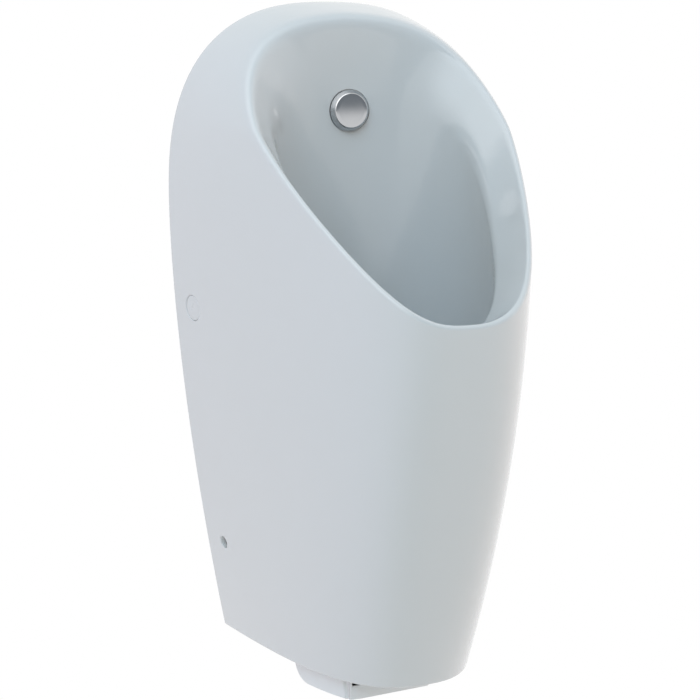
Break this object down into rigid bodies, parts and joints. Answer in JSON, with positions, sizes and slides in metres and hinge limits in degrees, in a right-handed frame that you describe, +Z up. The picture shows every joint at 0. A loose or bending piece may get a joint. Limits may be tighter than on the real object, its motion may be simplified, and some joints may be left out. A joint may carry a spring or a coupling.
{
  "type": "wall hung urinal",
  "caption": "Wall hung urinal with an egg-shaped sloping rim, deep basin, concealed trap and sensor flush behind the ceramic",
  "frame": {"origin": "on the wall plane, on the plane of symmetry of the ceramic, at the height of its lower edge", "axes": "+Z up, the wall is y = 0 and the urinal stands out of it to -Y, +X to the right seen from the front"},
  "size_m": [0.3434, 0.3492, 0.6719],
  "materials": {
    "glazed_ceramic": "white vitreous china under a clear glaze",
    "cap_plastic": "white moulded plastic",
    "cover_plastic": "white moulded plastic, fine texture",
    "stainless_steel": "plain stainless steel",
    "galvanised_steel": "zinc coated sheet",
    "chrome": "polished chrome plating",
    "brass": "machined brass",
    "black_rubber": "black moulded rubber",
    "hose_rubber": "reinforced rubber hose",
    "black_plastic": "black moulded plastic",
    "grey_plastic": "grey polypropylene",
    "circuit_board": "green solder mask",
    "battery_wrap": "blue grey sleeve"
  },
  "bodies": {
    "urinal": {"ceramic_body": "glazed_ceramic", "side_cover_caps": "cap_plastic", "side_fixing_screws": "stainless_steel", "hose_clamps": "stainless_steel", "bonnet_screws": "stainless_steel", "lid_screws": "stainless_steel", "box_screws": "stainless_steel", "cover_holder_screw": "stainless_steel", "nozzle_washer": "stainless_steel", "inlet_filter": "stainless_steel", "plunger_spring": "stainless_steel", "solenoid_guide_tube": "stainless_steel", "upper_hanger_bracket": "galvanised_steel", "base_frame": "galvanised_steel", "side_weld_nuts": "galvanised_steel", "spray_nozzle_cap": "chrome", "spray_nozzle_body": "brass", "nozzle_lock_nut": "brass", "isolating_valve_body": "brass", "union_nut": "brass", "nozzle_gasket": "black_rubber", "union_seal": "black_rubber", "drain_seal": "black_rubber", "trap_seal": "black_rubber", "outlet_seal": "black_rubber", "sensor_pad": "black_rubber", "flush_hose": "hose_rubber", "nozzle_elbow": "black_plastic", "solenoid_valve_body": "black_plastic", "solenoid_coil": "black_plastic", "coil_retainer": "black_plastic", "cable_glands": "black_plastic", "sensor_module": "black_plastic", "sensor_cable": "black_plastic", "valve_cable": "black_plastic", "side_screw_bushes": "black_plastic", "drain_nut": "grey_plastic", "trap_housing": "grey_plastic", "outlet_pipe": "grey_plastic", "cover_holder": "grey_plastic", "control_box": "grey_plastic", "control_box_lid": "grey_plastic", "drain_sleeve": "grey_plastic", "control_board": "circuit_board", "battery_pack": "battery_wrap"},
    "cover": {"service_cover": "cover_plastic"},
    "trap_insert": {"trap_cartridge": "grey_plastic", "cartridge_seal": "black_rubber"},
    "strainer": {"strainer_cover": "grey_plastic", "trap_bell": "grey_plastic"},
    "spindle": {"isolating_spindle": "brass"},
    "plunger": {"solenoid_plunger": "stainless_steel"},
    "diaphragm": {"valve_diaphragm": "black_rubber"}
  },
  "joints": [
    {"name": "cover_pull", "type": "slide", "parent": "urinal", "child": "cover", "axis": [0, 0, -1], "range_m": [0, 0.15]},
    {"name": "cartridge_lift", "type": "slide", "parent": "urinal", "child": "trap_insert", "axis": [0, 0, 1], "range_m": [0, 0.12]},
    {"name": "strainer_lift", "type": "slide", "parent": "trap_insert", "child": "strainer", "axis": [0, 0, 1], "range_m": [0, 0.1]},
    {"name": "spindle_turn", "type": "hinge", "parent": "urinal", "child": "spindle", "pos_m": [0.062, -0.04, 0.06], "axis": [0, -1, 0], "range_deg": [0, 90]},
    {"name": "plunger_slide", "type": "slide", "parent": "urinal", "child": "plunger", "axis": [0, -1, 0], "range_m": [0, 0.0025], "stiffness_N_per_m": 400, "springref_m": -0.005, "deforming": ["plunger_spring"]},
    {"name": "diaphragm_slide", "type": "slide", "parent": "urinal", "child": "diaphragm", "axis": [0, -1, 0], "range_m": [0, 0.0015]}
  ],
  "couplings": [
    {"joint": "diaphragm_slide", "follows": "plunger_slide", "ratio": 0.6}
  ]
}
